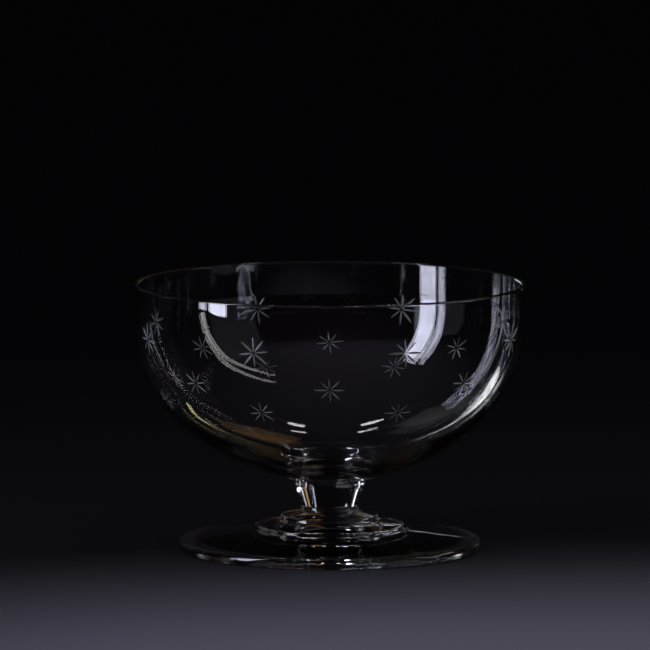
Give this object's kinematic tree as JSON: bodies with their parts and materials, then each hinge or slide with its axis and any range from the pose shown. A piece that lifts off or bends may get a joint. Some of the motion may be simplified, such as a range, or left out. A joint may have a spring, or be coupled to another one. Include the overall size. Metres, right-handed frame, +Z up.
{
  "type": "champagne coupe",
  "caption": "Clear stemmed coupe with a near hemispherical bowl, a very short solid stem, a stepped disc foot and wheel-cut stars around the bowl.",
  "frame": {"origin": "centre of the foot's rest ring, on the surface that the glass stands on", "axes": "+Z up along the glass's axis of revolution, -Y towards the front star of the middle row"},
  "size_m": [0.095, 0.095, 0.065],
  "materials": {
    "clear_glass": "clear colourless blown glass, fire polished, with matt wheel-cut stars"
  },
  "bodies": {
    "root": {"coupe_glass": "clear_glass"}
  },
  "joints": []
}
